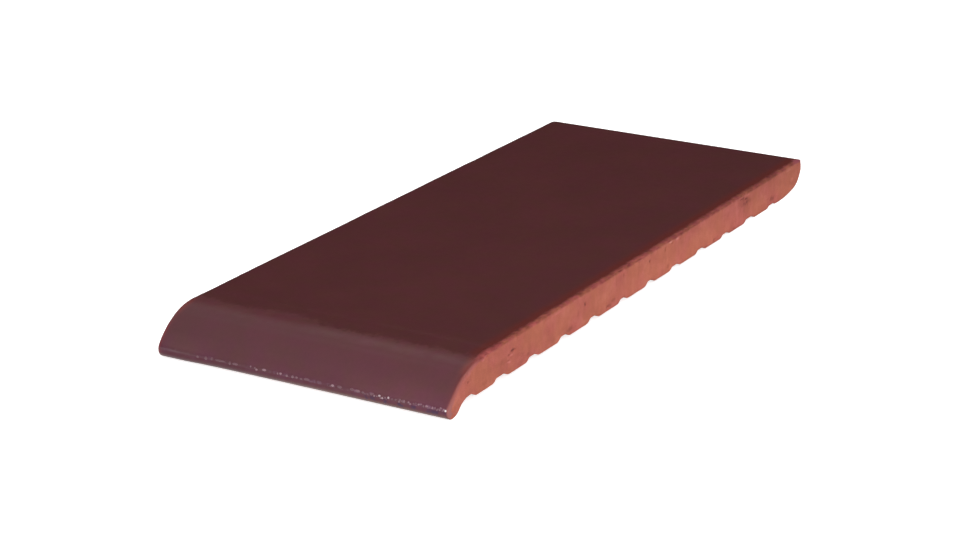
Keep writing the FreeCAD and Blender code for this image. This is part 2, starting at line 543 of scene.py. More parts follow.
def side_faces():
    """Points and edge distances of the faces beside the cuts: one row for each ring point."""
    turn = np.linspace(0, math.pi / 2, ROUNDING_STEPS + 1)
    inner = np.broadcast_to(HALF_WIDTH - INNER_COLUMNS, (RING, len(INNER_COLUMNS)))
    halves = []
    for side in (-1, 1):
        radius = edge_radius(side)[:, None]
        rim_x = HALF_WIDTH - radius * (1 - np.cos(turn))
        rim_inset = radius * (1 - np.sin(turn))
        x = np.concatenate([rim_x, inner], axis=1) * side
        inset = np.concatenate([rim_inset, np.zeros_like(inner)], axis=1)
        on_cut = np.concatenate([np.cos(turn) ** 2, np.zeros(len(INNER_COLUMNS))])
        halves.append((x, inset, on_cut))
    (left_x, left_inset, left_cut), (right_x, right_inset, right_cut) = halves
    middle = np.zeros((RING, 1))
    x = np.concatenate([left_x, middle, right_x[:, ::-1]], axis=1)
    inset = np.concatenate([left_inset, middle, right_inset[:, ::-1]], axis=1)
    on_cut = np.concatenate([left_cut, [0.0], right_cut[::-1]])
    edge = HALF_WIDTH - np.abs(x) - inset
    sunk = (inset + face_relief(x))[..., None]
    flat = ring_point[:, None] - ring_normal[:, None] * sunk
    rims = {-1: slice(0, ROUNDING_STEPS + 1), 1: slice(-ROUNDING_STEPS - 1, None)}
    for side, columns in rims.items():
        relief = cut_relief(side, flat[:, columns, 0], flat[:, columns, 1])
        x[:, columns] -= side * relief * on_cut[columns]
    return x, flat, edge


def round_back_corners(points):
    """Draws the points near the two top corners at the back onto a rounded plan."""
    rounded = points.copy()
    for side, widest in BACK_CORNER_RADIUS.items():
        radius = np.maximum(widest * smoothstep(-BACK_CORNER_DEPTH, -0.5, points[:, 2]), 0.01)
        out = side * points[:, 0] - (HALF_WIDTH - radius)
        behind = points[:, 1] - (TILE_DEPTH - radius)
        reach = np.hypot(out, behind)
        beyond = (out > 0) & (behind > 0) & (reach > radius)
        share = np.where(beyond, radius / np.maximum(reach, radius), 1.0)
        rounded[:, 0] -= side * np.where(beyond, out * (1 - share), 0.0)
        rounded[:, 1] -= np.where(beyond, behind * (1 - share), 0.0)
    return rounded


def blend_patch(low, high, front, back):
    """Fills a cut face between its four border chains, each a row of values."""
    share = row_share[None, :, None]
    near_front = smoothstep(NOSE_COLUMNS, 0, np.arange(LAST + 1))[:, None, None]
    near_back = smoothstep(LAST - HEEL_COLUMNS, LAST, np.arange(LAST + 1))[:, None, None]

    def straight(first, last):
        return (1 - share) * first + share * last

    patch = straight(low[:, None], high[:, None])
    patch = patch + near_front * (front[None] - straight(low[None, :1], high[None, :1]))
    return patch + near_back * (back[None] - straight(low[None, -1:], high[None, -1:]))


LOW_RING = np.arange(LAST + 1)
HIGH_RING = LAST + CUT_ROWS + (LAST - np.arange(LAST + 1))
BACK_RING = LAST + np.arange(CUT_ROWS + 1)
FRONT_RING = (RING - np.arange(CUT_ROWS + 1)) % RING


def build_tile():
    """The tile's points, its faces, and the values that its material reads at each point."""
    x, flat, edge = side_faces()
    columns = x.shape[1]
    points = [np.concatenate([x[..., None], flat], axis=-1).reshape(-1, 3)]
    index = np.arange(RING * columns).reshape(RING, columns)
    rim = slice(-ROUNDING_STEPS - 1, None)
    stain = np.zeros((RING, columns))
    stain[:, rim] = stain_and_shade_at(flat[:, rim, 0], flat[:, rim, 1])
    glaze_length = np.clip(ring_glaze, -GLAZE_REACH, GLAZE_REACH)
    nose_length = np.clip(ring_nose, *NOSE_REACH)
    values = {
        "edge": [edge.ravel()],
        "glaze": [np.repeat(glaze_length, columns)],
        "nose": [np.repeat(nose_length, columns)],
        "stain": [stain.ravel()],
        "torn": [(edge + TORN_LINE).ravel()],
    }
    following = np.roll(index, -1, axis=0)
    faces = [np.stack([
        index[:, :-1], following[:, :-1], following[:, 1:], index[:, 1:],
    ], axis=-1).reshape(-1, 4)]
    first_free = RING * columns
    for side, border in ((-1, 0), (1, columns - 1)):
        chain = np.column_stack([flat[:, border], glaze_length, nose_length])
        patch = blend_patch(chain[LOW_RING], chain[HIGH_RING], chain[FRONT_RING], chain[BACK_RING])
        y, z, glaze, nose = np.moveaxis(patch[1:-1, 1:-1], -1, 0)
        relief = cut_relief(side, y, z)
        depth = depth_below_glaze(y, z)
        points.append(np.stack([side * (HALF_WIDTH - relief), y, z], axis=-1).reshape(-1, 3))
        stain = stain_and_shade_at(y, z) if side > 0 else np.zeros_like(y)
        values["edge"].append(-depth.ravel())
        values["glaze"].append(glaze.ravel())
        values["nose"].append(nose.ravel())
        values["stain"].append(stain.ravel())
        values["torn"].append((torn_line(side, y, z) - depth).ravel())
        grid = np.empty((LAST + 1, CUT_ROWS + 1), int)
        grid[1:-1, 1:-1] = first_free + np.arange(y.size).reshape(y.shape)
        grid[:, 0] = index[LOW_RING, border]
        grid[:, -1] = index[HIGH_RING, border]
        grid[0] = index[FRONT_RING, border]
        grid[-1] = index[BACK_RING, border]
        first_free += y.size
        quads = np.stack([grid[:-1, :-1], grid[1:, :-1], grid[1:, 1:], grid[:-1, 1:]], axis=-1)
        faces.append(quads.reshape(-1, 4)[:, ::side])
    tile_values = {name: np.concatenate(parts) for name, parts in values.items()}
    return round_back_corners(np.concatenate(points)), np.concatenate(faces), tile_values


def turn_down(points):
    """From the section's frame to the tile's slope as it lies, in metres."""
    turned_y = points[:, 1] * math.cos(RESTING_TILT) + points[:, 2] * math.sin(RESTING_TILT)
    turned_z = points[:, 2] * math.cos(RESTING_TILT) - points[:, 1] * math.sin(RESTING_TILT)
    return np.column_stack([points[:, 0], turned_y, turned_z]) * MM


dense_outline = outline.at(np.linspace(0, marks["end"], OUTLINE_SAMPLES))[0]
dense_laid = turn_down(np.insert(dense_outline, 0, 0.0, axis=1))
LAID_SHIFT = np.array([0.0, cad_low.y - dense_laid[:, 1].min(), cad_low.z - dense_laid[:, 2].min()])


def lay_down(points):
    """From the section's frame to the tile's place on the floor, in metres."""
    return turn_down(points) + LAID_SHIFT


def make_piece(name, points, faces, material, values):
    """A smooth mesh object in the frame, with one value a point for each named attribute."""
    mesh = bpy.data.meshes.new(name)
    mesh.from_pydata(np.clip(lay_down(points), cad_low, cad_high).tolist(), [], faces.tolist())
    mesh.shade_smooth()
    for label, numbers in values.items():
        attribute = mesh.attributes.new(label, "FLOAT", "POINT")
        attribute.data.foreach_set("value", numbers.astype(np.float32))
    mesh.materials.append(material)
    piece = bpy.data.objects.new(name, mesh)
    bpy.context.scene.collection.objects.link(piece)
    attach(piece, "root")
    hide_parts("sill_tile")
    return piece


# Places of the colour sockets of a Mix node, which bear one name for every kind of data
MIX_FIRST = 6
MIX_SECOND = 7
MIX_RESULT = 2


class Shader:
    """A material's nodes, wired up one call at a time."""

    def __init__(self, name):
        self.material = bpy.data.materials.new(name)
        self.material.use_nodes = True
        self.tree = self.material.node_tree
        self.surface = self.tree.nodes["Principled BSDF"]
        place = self.node("ShaderNodeTexCoord")
        scaled = self.node("ShaderNodeMapping")
        scaled.inputs["Scale"].default_value = (1 / MM, 1 / MM, 1 / MM)
        self.link(place.outputs["Object"], scaled.inputs["Vector"])
        self.millimetres = scaled.outputs["Vector"]

    def node(self, kind):
        return self.tree.nodes.new(kind)

    def link(self, source, target):
        self.tree.links.new(source, target)

    def give(self, socket, value):
        if isinstance(value, bpy.types.NodeSocket):
            self.link(value, socket)
        elif isinstance(value, tuple) and len(value) == 3 and len(socket.default_value) == 4:
            socket.default_value = (*value, 1.0)
        else:
            socket.default_value = value

    def set(self, name, value):
        self.give(self.surface.inputs[name], value)

    def attribute(self, name):
        node = self.node("ShaderNodeAttribute")
        node.attribute_name = name
        return node.outputs["Fac"]

    def place(self):
        """X and Y of the point that is shaded, in millimetres from the tile's middle."""
        node = self.node("ShaderNodeSeparateXYZ")
        self.link(self.millimetres, node.inputs["Vector"])
        return node.outputs["X"], node.outputs["Y"]

    def math(self, operation, first, second):
        node = self.node("ShaderNodeMath")
        node.operation = operation
        self.give(node.inputs[0], first)
        self.give(node.inputs[1], second)
        return node.outputs["Value"]

    def plus(self, first, *others):
        for other in others:
            first = self.math("ADD", first, other)
        return first

    def minus(self, first, second):
        return self.math("SUBTRACT", first, second)

    def times(self, first, *others):
        for other in others:
            first = self.math("MULTIPLY", first, other)
        return first

    def total(self, *parts):
        """Adds up values, each times its weight."""
        return self.plus(*[self.times(value, weight) for value, weight in parts])

    def grain(self, size, detail=2.0, stretch=(1.0, 1.0, 1.0)):
        """Noise about 0, from about -0.5 to 0.5, with lumps of this size in millimetres."""
        stretched = self.node("ShaderNodeMapping")
        stretched.inputs["Scale"].default_value = tuple(1 / (size * along) for along in stretch)
        self.link(self.millimetres, stretched.inputs["Vector"])
        texture = self.node("ShaderNodeTexNoise")
        texture.inputs["Scale"].default_value = 1.0
        texture.inputs["Detail"].default_value = detail
        self.link(stretched.outputs["Vector"], texture.inputs["Vector"])
        return self.minus(texture.outputs["Fac"], 0.5)

    def step(self, value, low, high, start=0.0, end=1.0):
        """Eases from start to end while the value goes from low to high."""
        node = self.node("ShaderNodeMapRange")
        node.interpolation_type = "SMOOTHSTEP"
        self.give(node.inputs["Value"], value)
        node.inputs["From Min"].default_value = low
        node.inputs["From Max"].default_value = high
        node.inputs["To Min"].default_value = start
        node.inputs["To Max"].default_value = end
        return node.outputs["Result"]

    def band(self, value, low, full, still_full, high):
        """Eases from 0 at low to 1 at full, and back from 1 at still_full to 0 at high."""
        return self.times(self.step(value, low, full), self.step(value, high, still_full))

    def mix(self, factor, first, second, blend="MIX"):
        node = self.node("ShaderNodeMix")
        node.data_type = "RGBA"
        node.blend_type = blend
        self.give(node.inputs["Factor"], factor)
        self.give(node.inputs[MIX_FIRST], first)
        self.give(node.inputs[MIX_SECOND], second)
        return node.outputs[MIX_RESULT]

    def tint(self, colour, by, share=1.0):
        return self.mix(share, colour, by, "MULTIPLY")

    def ramp(self, value, stops):
        """Colour that passes through (place, colour) stops as the value grows."""
        first = stops[0][0]
        last = stops[-1][0]
        node = self.node("ShaderNodeValToRGB")
        elements = node.color_ramp.elements
        for place, colour in stops[1:-1]:
            elements.new((place - first) / (last - first)).color = (*colour, 1.0)
        elements[0].color = (*stops[0][1], 1.0)
        elements[-1].color = (*stops[-1][1], 1.0)
        self.link(self.times(self.minus(value, first), 1 / (last - first)), node.inputs["Fac"])
        return node.outputs["Color"]

    def bump(self, height, distance):
        node = self.node("ShaderNodeBump")
        node.inputs["Strength"].default_value = 1.0
        node.inputs["Distance"].default_value = distance * MM
        self.give(node.inputs["Height"], height)
        self.link(node.outputs["Normal"], self.surface.inputs["Normal"])


# Colours of the finishes. The stops of a ramp are places and colours.

# Clay, by its tone from dark to light
ORANGE_CLAY = [
    (-0.9, (0.14, 0.04, 0.028)),
    (-0.35, (0.34, 0.099, 0.061)),
    (0.0, (0.425, 0.128, 0.079)),
    (0.35, (0.51, 0.167, 0.112)),
    (0.9, (0.62, 0.29, 0.24)),
]
PINK_CLAY = [
    (-0.9, (0.14, 0.036, 0.032)),
    (-0.35, (0.335, 0.086, 0.066)),
    (0.0, (0.42, 0.112, 0.086)),
    (0.35, (0.51, 0.152, 0.126)),
    (0.9, (0.62, 0.28, 0.26)),
]
CUT_CLAY_TINT = (1.015, 0.99, 1.01)

# Fired skin, by the distance out over the arris of a cut side
LEVEL_SKIN = [
    (-3.2, (0.088, 0.014, 0.012)),
    (-2.2, (0.155, 0.032, 0.025)),
    (-1.4, (0.2, 0.046, 0.038)),
    (-0.6, (0.226, 0.056, 0.045)),
    (0.2, (0.252, 0.063, 0.049)),
    (0.8, (0.29, 0.076, 0.06)),
    (1.4, (0.345, 0.096, 0.078)),
    (2.4, (0.42, 0.126, 0.108)),
]
NOSE_SKIN = [
    (-0.2, (0.142, 0.034, 0.031)),
    (0.5, (0.211, 0.056, 0.049)),
    (1.0, (0.262, 0.07, 0.061)),
    (1.5, (0.309, 0.085, 0.073)),
    (2.2, (0.36, 0.098, 0.08)),
    (3.2, (0.395, 0.107, 0.082)),
]
SKIN_MOTTLE = [
    (-0.6, (0.6, 0.38, 0.4)),
    (0.0, (1.0, 1.0, 1.0)),
    (0.6, (1.5, 1.56, 1.54)),
]
BROWN_SKIN_TINT = (0.98, 1.02, 0.78)
PURPLE_SKIN_TINT = (1.05, 0.86, 0.99)
FAR_CORNER_SKIN = (0.205, 0.054, 0.064)
LIP_END_SKIN = (0.305, 0.106, 0.098)

# Glaze by the length down from where the nose starts: its own colour with painted sheen, paler at
# the bend and again down to a painted highlight line near 25, painted shade below it
GLAZE_AND_SHEEN = [
    (-10.0, (0.067, 0.015, 0.016)),
    (-2.4, (0.067, 0.0155, 0.0163)),
    (-0.6, (0.085, 0.025, 0.0261)),
    (2.4, (0.0848, 0.0222, 0.0252)),
    (7.5, (0.0725, 0.0117, 0.0167)),
    (12.0, (0.079, 0.0145, 0.022)),
    (18.0, (0.0875, 0.0225, 0.0295)),
    (22.0, (0.103, 0.0315, 0.04)),
    (24.2, (0.117, 0.04, 0.052)),
    (25.2, (0.119, 0.044, 0.058)),
    (26.2, (0.104, 0.023, 0.038)),
    (27.2, (0.1, 0.012, 0.03)),
    (31.2, (0.11, 0.02, 0.014)),
]
RIM_GLAZE = ((0.092, 0.009, 0.015), (0.112, 0.022, 0.016))
# Painted shade and dark reflection in patches on the lip below the drops
LIP_SHADE_PATCHES = ((0.092, 0.011, 0.022), (0.05, 0.012, 0.044))
# Painted highlight along the drops on the lip
LIP_HIGHLIGHT = (0.19, 0.098, 0.13)
# Painted highlight at the left end of the lip
LEFT_LIP_HIGHLIGHT = (0.15, 0.062, 0.08)
LEFT_RIM_GLAZE = (0.18, 0.026, 0.032)
THIN_GLAZE = (0.095, 0.0138, 0.0102)
SEAM_GLAZE = (0.148, 0.0235, 0.0185)
# Painted shade below the drops on the left
SHADE_UNDER_DROPS = (0.92, 0.62, 0.88)
# Painted light on the lower nose, towards the right
NOSE_LIGHT_PATCH = (1.1, 1.07, 1.09)
GREENER_TINT = (0.975, 1.05, 0.93)
REDDER_TINT = (1.02, 0.94, 1.08)

# Drops, by their brightness: the glaze's colour at the dim end, a painted glint at the bright end
DROP_GLAZE_AND_GLINT = [
    (0.0, (0.115, 0.04, 0.05)),
    (0.4, (0.18, 0.085, 0.105)),
    (0.7, (0.31, 0.175, 0.205)),
    (1.0, (0.8, 0.71, 0.71)),
]

# How far the glaze is held back from the arris of the right-hand cut side
GLAZE_HELD_BACK = 2.15

# Roughness of the clay, how much smoother its skin and the glaze are, and the depth of its pits
CLAY_ROUGHNESS = 0.9
SKIN_SMOOTHER = 0.2
GLAZE_SMOOTHER = 0.38
PIT_DEPTH = 0.25


def tile_fields(shader):
    """What the finishes are worked out from: the mesh's values, the place and noises."""
    x, y = shader.place()
    names = ("edge", "glaze", "nose", "torn", "stain")
    return SimpleNamespace(
        **{name: shader.attribute(name) for name in names},
        x=x,
        y=y,
        fine=shader.grain(0.45, detail=3.0),
        speck=shader.grain(1.3, stretch=(1.0, 2.2, 1.0)),
        coarse=shader.grain(3.2, detail=3.0),
        medium=shader.grain(7.0),
        patchy=shader.grain(15.0, detail=3.0),
        broad=shader.grain(22.0),
    )


def clay_colour(shader, at):
    """Orange and pink clay, streaked by the wire on the cut sides and along X elsewhere, with
    painted shade and light on the cut sides.
    """
    upright = shader.grain(1.0, stretch=(1.0, 2.4, 14.0))
    along = shader.grain(1.0, detail=3.0, stretch=(26.0, 1.2, 1.2))
    on_cut = shader.step(at.edge, -0.6, -1.0)
    streaks = shader.mix(on_cut, along, upright)
    tone = shader.total(
        (streaks, 0.32), (at.fine, 0.2), (at.coarse, 0.45), (at.medium, 0.62), (at.stain, 1.0)
    )
    pinkness = shader.step(at.patchy, -0.13, 0.15)
    clay = shader.mix(pinkness, shader.ramp(tone, ORANGE_CLAY), shader.ramp(tone, PINK_CLAY))
    # Painted shade and light on the cut sides: darker towards the back near the top, lighter lower
    # down towards the back
    deep = shader.step(at.edge, -1.0, -12.0)
    shade = shader.plus(
        shader.times(deep, shader.step(at.y, -90.0, 70.0, 0.02, 0.2)),
        shader.step(at.y, -100.0, -20.0, -0.02, 0.01),
        shader.step(at.y, 20.0, 125.0, 0.945, 0.875),
    )
    return shader.mix(on_cut, clay, shader.tint(shader.tint(clay, CUT_CLAY_TINT), shade))


def skin_colour(shader, at):
    """The fired skin on the arris: flecked along the top, smoother down the nose, with painted
    shade towards the back.
    """
    flecks = shader.total((at.coarse, 3.2), (at.speck, 2.4), (at.medium, 2.6))
    mottle = shader.total((at.coarse, 0.8), (at.speck, 0.7), (at.stain, 0.6))
    level = shader.ramp(shader.minus(flecks, at.edge), LEVEL_SKIN)
    level = shader.tint(level, shader.ramp(mottle, SKIN_MOTTLE))
    # Painted shade: the skin darker towards the back
    level = shader.tint(level, shader.step(at.y, -110.0, 120.0, 0.985, 0.83))
    level = shader.mix(shader.step(at.y, 131.0, 138.0), level, FAR_CORNER_SKIN)
    purple = shader.math(
        "MAXIMUM", shader.step(shader.grain(3.6), -0.1, 0.1), shader.step(at.y, -102.0, -112.0)
    )
    level = shader.tint(level, shader.mix(purple, BROWN_SKIN_TINT, PURPLE_SKIN_TINT))
    nose = shader.ramp(shader.minus(shader.times(flecks, 0.15), at.edge), NOSE_SKIN)
    nose = shader.mix(shader.step(at.nose, 19.0, 26.0), nose, LIP_END_SKIN)
    return shader.mix(shader.step(at.nose, -3.0, 8.0), level, nose)


def glaze_on_lip(shader, at, glaze):
    """Adds the rim where the glaze ran to a stop on the lip, painted shade in patches and below the
    drops, painted highlights along the drops and at the left end, and painted light on the right of
    the lower nose.
    """
    rim = shader.mix(shader.step(at.x, -30.0, 15.0), *RIM_GLAZE)
    glaze = shader.mix(shader.step(at.nose, 26.8, 28.0), glaze, rim)
    # Painted shade and dark reflection: darker patches on the lip below the drops, bluer on the
    # right
    shade_patch = shader.times(
        shader.band(at.nose, 25.4, 26.6, 27.2, 28.3),
        shader.step(shader.grain(3.0, detail=3.0), -0.05, 0.12),
    )
    glaze = shader.mix(shade_patch, glaze, shader.mix(shader.step(at.x, 18.0, 32.0), *LIP_SHADE_PATCHES))
    # Painted highlight: a pale, patchy line along the lip where the drops sit
    highlight_row = shader.times(
        shader.band(at.nose, 24.4, 25.0, 25.6, 26.1),
        shader.step(at.x, -24.0, 30.0, 0.2, 0.8),
        shader.step(shader.grain(1.3), 0.0, 0.16),
    )
    glaze = shader.mix(highlight_row, glaze, LIP_HIGHLIGHT)
    # Painted shade: the lip below the drops darker and more crimson on its left half
    under = shader.times(shader.step(at.nose, 25.6, 26.3), shader.step(at.x, 4.0, -8.0))
    glaze = shader.tint(glaze, SHADE_UNDER_DROPS, under)
    # Painted light: the lower nose lighter from the middle to near its right end
    lit_patch = shader.times(shader.step(at.nose, 14.0, 22.0), shader.band(at.x, 12.0, 30.0, 48.0, 57.0))
    glaze = shader.tint(glaze, NOSE_LIGHT_PATCH, lit_patch)
    # Painted highlight: a pale patch on the lip near its left end
    left_highlight = shader.times(
        shader.band(at.nose, 25.0, 25.4, 25.7, 26.2), shader.band(at.x, -56.5, -54.0, -52.0, -50.0)
    )
    return shader.mix(shader.times(left_highlight, 0.55), glaze, LEFT_LIP_HIGHLIGHT)


def glaze_and_sheen_colour(shader, at):
    """The glaze, deep and even on the level, with painted sheen that pales it from a ragged line at
    the bend on down.
    """
    lean = shader.step(at.x, -15.0, 20.0, 0.5, -0.6)
    shift = shader.total((shader.grain(14.0), 9.0), (at.coarse, 5.0), (at.speck, 6.0), (lean, 1.0))
    wander = shader.plus(at.nose, shader.times(shift, shader.step(at.nose, 12.0, 3.0)))
    # The ramp paints sheen, a highlight line and shade down the nose
    glaze = glaze_on_lip(shader, at, shader.ramp(wander, GLAZE_AND_SHEEN))
    # Painted shade: the nose below the bend darker towards its left end
    dimmed = shader.times(shader.step(at.nose, 3.0, 9.0), shader.step(at.x, 5.0, -60.0, 0.0, 0.1))
    glaze = shader.tint(glaze, shader.minus(1.0, dimmed))
    left_rim = shader.times(shader.step(at.x, -58.4, -59.8), shader.step(at.nose, 8.0, 20.0))
    glaze = shader.mix(left_rim, glaze, LEFT_RIM_GLAZE)
    speckled = shader.plus(shader.times(shader.band(at.nose, -7.0, -2.0, 1.0, 7.0), 0.32), 0.14)
    cloud = shader.total((at.broad, 0.25), (at.fine, 0.14), (at.speck, speckled))
    glaze = shader.tint(glaze, shader.plus(cloud, 1.0))
    hue = shader.step(shader.grain(8.0, detail=1.0), -0.18, 0.18)
    return shader.tint(glaze, shader.mix(hue, GREENER_TINT, REDDER_TINT))


def thin_at_arris(shader, at, glaze, over):
    """Reddens the glaze where it runs thin, along the top and down the nose."""
    halo = shader.times(
        shader.step(over, 5.5, 0.6), shader.step(at.nose, 3.0, -5.0), shader.step(at.x, -8.0, 8.0)
    )
    glaze = shader.mix(halo, glaze, THIN_GLAZE)
    seam = shader.times(
        shader.step(over, 3.6, 0.3),
        shader.step(at.nose, -3.0, 4.0),
        shader.step(at.nose, 13.0, 8.0, 0.25, 1.0),
        0.85,
    )
    return shader.mix(seam, glaze, SEAM_GLAZE)


def fired_tile_material():
    """Satin red-brown glaze, orange clay, and the thin fired skin on the arris between."""
    shader = Shader("glaze_and_clay")
    at = tile_fields(shader)

    # The glaze stops in a wandering line, further from the arris on the right
    on_nose = shader.step(at.nose, -5.0, 7.5)
    held_back = shader.times(
        shader.step(at.x, -8.0, 8.0, 0.0, GLAZE_HELD_BACK), shader.minus(1.0, on_nose)
    )
    wobble = shader.times(shader.grain(3.4, detail=3.0), 1.5)
    ragged = shader.times(at.speck, held_back, 1.5)
    over = shader.plus(shader.minus(shader.plus(at.edge, wobble), held_back), ragged)
    glazed_length = shader.plus(at.glaze, wobble)
    glaze_shows = shader.times(shader.step(over, -0.55, 0.65), shader.step(glazed_length, 0.0, 0.4))

    # The skin reaches down to where it is torn off
    torn_edge = shader.total((at.torn, 1.0), (at.fine, 0.5), (at.speck, 1.0), (on_nose, 2.2))
    skin_shows = shader.times(
        shader.step(torn_edge, -0.9, 0.25), shader.step(glazed_length, -0.5, 0.3)
    )

    glaze = thin_at_arris(shader, at, glaze_and_sheen_colour(shader, at), over)
    colour = shader.mix(skin_shows, clay_colour(shader, at), skin_colour(shader, at))
    shader.set("Base Color", shader.mix(glaze_shows, colour, glaze))
    smoother = shader.total((skin_shows, SKIN_SMOOTHER), (glaze_shows, GLAZE_SMOOTHER))
    roughness = shader.minus(CLAY_ROUGHNESS, smoother)
    shader.set("Roughness", shader.plus(roughness, shader.times(at.coarse, 0.08)))
    shader.set("IOR", 1.45)
    shader.set("Specular IOR Level", 0.3)
    pits = shader.times(at.fine, shader.step(torn_edge, 0.2, -0.2, 0.05, 1.0))
    shader.bump(pits, PIT_DEPTH)
    return shader.material


def drop_material():
    """Glaze that ran together into drops, some hardly paler than the coat, some bright with a
    painted glint.
    """
    shader = Shader("glaze_drop")
    shader.set("Base Color", shader.ramp(shader.attribute("bright"), DROP_GLAZE_AND_GLINT))
    shader.set("Roughness", 0.4)
    shader.set("IOR", 1.5)
    return shader.material


# Drops of glaze along the lip: X, length down the nose, half width, half height, brightness of the
# painted glint
DROPS = [
    (-42.5, 25.7, 0.5, 0.45, 0.30),
    (-39.0, 25.6, 0.6, 0.60, 0.25),
    (-36.5, 25.3, 0.4, 0.60, 0.20),
    (-33.0, 25.4, 2.2, 0.35, 0.17),
    (-28.8, 25.5, 0.5, 0.60, 0.25),
    (-26.5, 25.4, 1.2, 0.40, 0.30),
    (-20.0, 25.0, 0.3, 0.35, 0.55),
    (-18.2, 25.2, 0.4, 0.30, 0.35),
    (-17.5, 25.7, 0.5, 0.35, 0.65),
    (-14.3, 25.2, 0.9, 0.40, 0.65),
    (-8.6, 25.4, 0.3, 0.40, 0.50),
    (-7.4, 25.2, 0.5, 0.40, 0.70),
    (-4.8, 25.5, 0.5, 0.40, 0.50),
    (-2.4, 25.4, 0.5, 0.45, 0.50),
    (-0.7, 25.3, 0.5, 0.40, 0.45),
    (1.2, 25.4, 0.6, 0.30, 0.30),
    (3.4, 25.2, 1.2, 0.35, 0.35),
    (13.2, 25.6, 0.3, 0.30, 0.40),
    (14.1, 25.3, 0.6, 0.40, 0.72),
    (17.0, 25.2, 1.0, 0.40, 0.30),
    (22.0, 25.1, 0.8, 0.40, 0.25),
    (24.4, 25.2, 0.9, 0.40, 0.48),
    (26.5, 25.3, 0.6, 0.30, 0.30),
    (29.8, 25.3, 0.5, 0.35, 0.40),
    (31.1, 25.6, 0.4, 0.35, 0.60),
    (33.1, 25.2, 0.5, 0.35, 0.80),
    (34.3, 25.8, 0.4, 0.35, 0.75),
    (36.7, 25.2, 0.4, 0.40, 0.82),
    (38.2, 25.4, 0.4, 0.30, 0.35),
    (41.0, 25.7, 0.3, 0.40, 0.50),
    (41.3, 25.0, 0.3, 0.30, 0.40),
    (43.0, 25.3, 0.3, 0.45, 0.55),
    (44.7, 25.2, 0.4, 0.30, 0.60),
    (45.4, 25.7, 0.4, 0.30, 0.50),
    (48.7, 25.2, 0.4, 0.35, 0.60),
    (50.6, 25.4, 0.3, 0.40, 0.40),
    (51.8, 25.2, 0.6, 0.35, 0.60),
    (54.1, 25.3, 0.3, 0.45, 0.60),
    (55.9, 25.7, 0.3, 0.30, 0.45),
    (57.2, 24.8, 0.4, 0.30, 0.60),
    (57.0, 25.5, 0.3, 0.30, 0.62),
    (58.5, 25.1, 0.3, 0.35, 0.68),
    (59.2, 25.4, 0.4, 0.40, 1.00),
    (30.5, 25.0, 0.4, 0.30, 0.35),
    (32.2, 25.5, 0.3, 0.25, 0.50),
    (33.6, 25.9, 0.3, 0.25, 0.50),
    (35.4, 25.4, 0.3, 0.30, 0.55),
    (35.9, 25.9, 0.2, 0.30, 0.40),
    (39.6, 25.3, 0.4, 0.30, 0.35),
    (42.1, 25.3, 0.3, 0.25, 0.40),
    (46.8, 25.3, 0.3, 0.25, 0.40),
    (47.6, 25.0, 0.2, 0.25, 0.45),
    (49.6, 25.0, 0.3, 0.30, 0.50),
    (52.9, 25.5, 0.3, 0.25, 0.45),
    (55.1, 25.2, 0.3, 0.30, 0.50),
    (56.3, 25.3, 0.3, 0.25, 0.50),
    (58.0, 25.6, 0.2, 0.25, 0.50),
]
DROP_PROUD = 0.12


def build_drops():
    """Flattened drops along the lip, as one mesh, with the brightness of each."""
    ball = bmesh.new()
    bmesh.ops.create_icosphere(ball, subdivisions=2, radius=1.0)
    ball_points = np.array([vertex.co[:] for vertex in ball.verts])
    ball_faces = np.array([[vertex.index for vertex in face.verts] for face in ball.faces])
    ball.free()
    points = []
    faces = []
    for number, (x, down, half_width, half_height, _) in enumerate(DROPS):
        place, heading = outline.at(np.array([marks["nose_start"] + down]))
        along = np.array([0.0, math.cos(heading[0]), math.sin(heading[0])])
        outward = np.array([0.0, math.sin(heading[0]), -math.cos(heading[0])])
        middle = np.array([x, *place[0]]) - outward * lip_recess(x)
        sizes = np.array([[half_width, 0.0, 0.0], along * half_height, outward * DROP_PROUD])
        points.append(middle + ball_points @ sizes)
        faces.append(ball_faces + number * len(ball_points))
    bright = np.repeat([drop[4] for drop in DROPS], len(ball_points))
    return np.concatenate(points), np.concatenate(faces), {"bright": bright}


def add_tile():
    points, faces, values = build_tile()
    make_piece("tile", points, faces, fired_tile_material(), values)
    points, faces, values = build_drops()
    make_piece("glaze_drops", points, faces, drop_material(), values)


# Studio, in metres
FLOOR_SIZE = 6.0
FLAG_RADIUS = 2.4
FLAG_HEIGHT = 1.7
FLAG_SIDES = 96

WHITE = (1.0, 1.0, 1.0, 1.0)
PAPER_GREY = (0.8, 0.8, 0.8, 1.0)
NEAR_BLACK = (0.02, 0.02, 0.02, 1.0)
BACKDROP_STRENGTH = 1.0
SOFT_STRENGTH = 0.5
FLOOR_GLOW = 0.76

# Name, size, watts, azimuth, elevation and distance of each lamp. The angles are in degrees:
# azimuth 0 is in front of the nose and 90 to its right.
LAMPS = [
    ("overhead", 2.4, 16.0, 0.0, 90.0, 1.7),
    ("front_left", 0.16, 1.3, -32.0, 4.5, 1.3),
    ("right", 0.7, 4.5, 56.0, 30.0, 0.95),
]

# The camera: sensor and lens in millimetres, place in metres, and turn about X, Y, Z in degrees
SENSOR_WIDTH = 36.0
LENS = 93.333
SHIFT_X = -0.09408
SHIFT_Y = -0.01533
CLIP_START = 0.05
CAMERA_PLACE = (0.46776, -0.77419, 0.33049)
CAMERA_TURN = (70.128, 0.4764, 29.452)


def add_node(tree, kind, **values):
    """A new node with these values on the inputs of those names."""
    node = tree.nodes.new(kind)
    for name, value in values.items():
        node.inputs[name].default_value = value
    return node


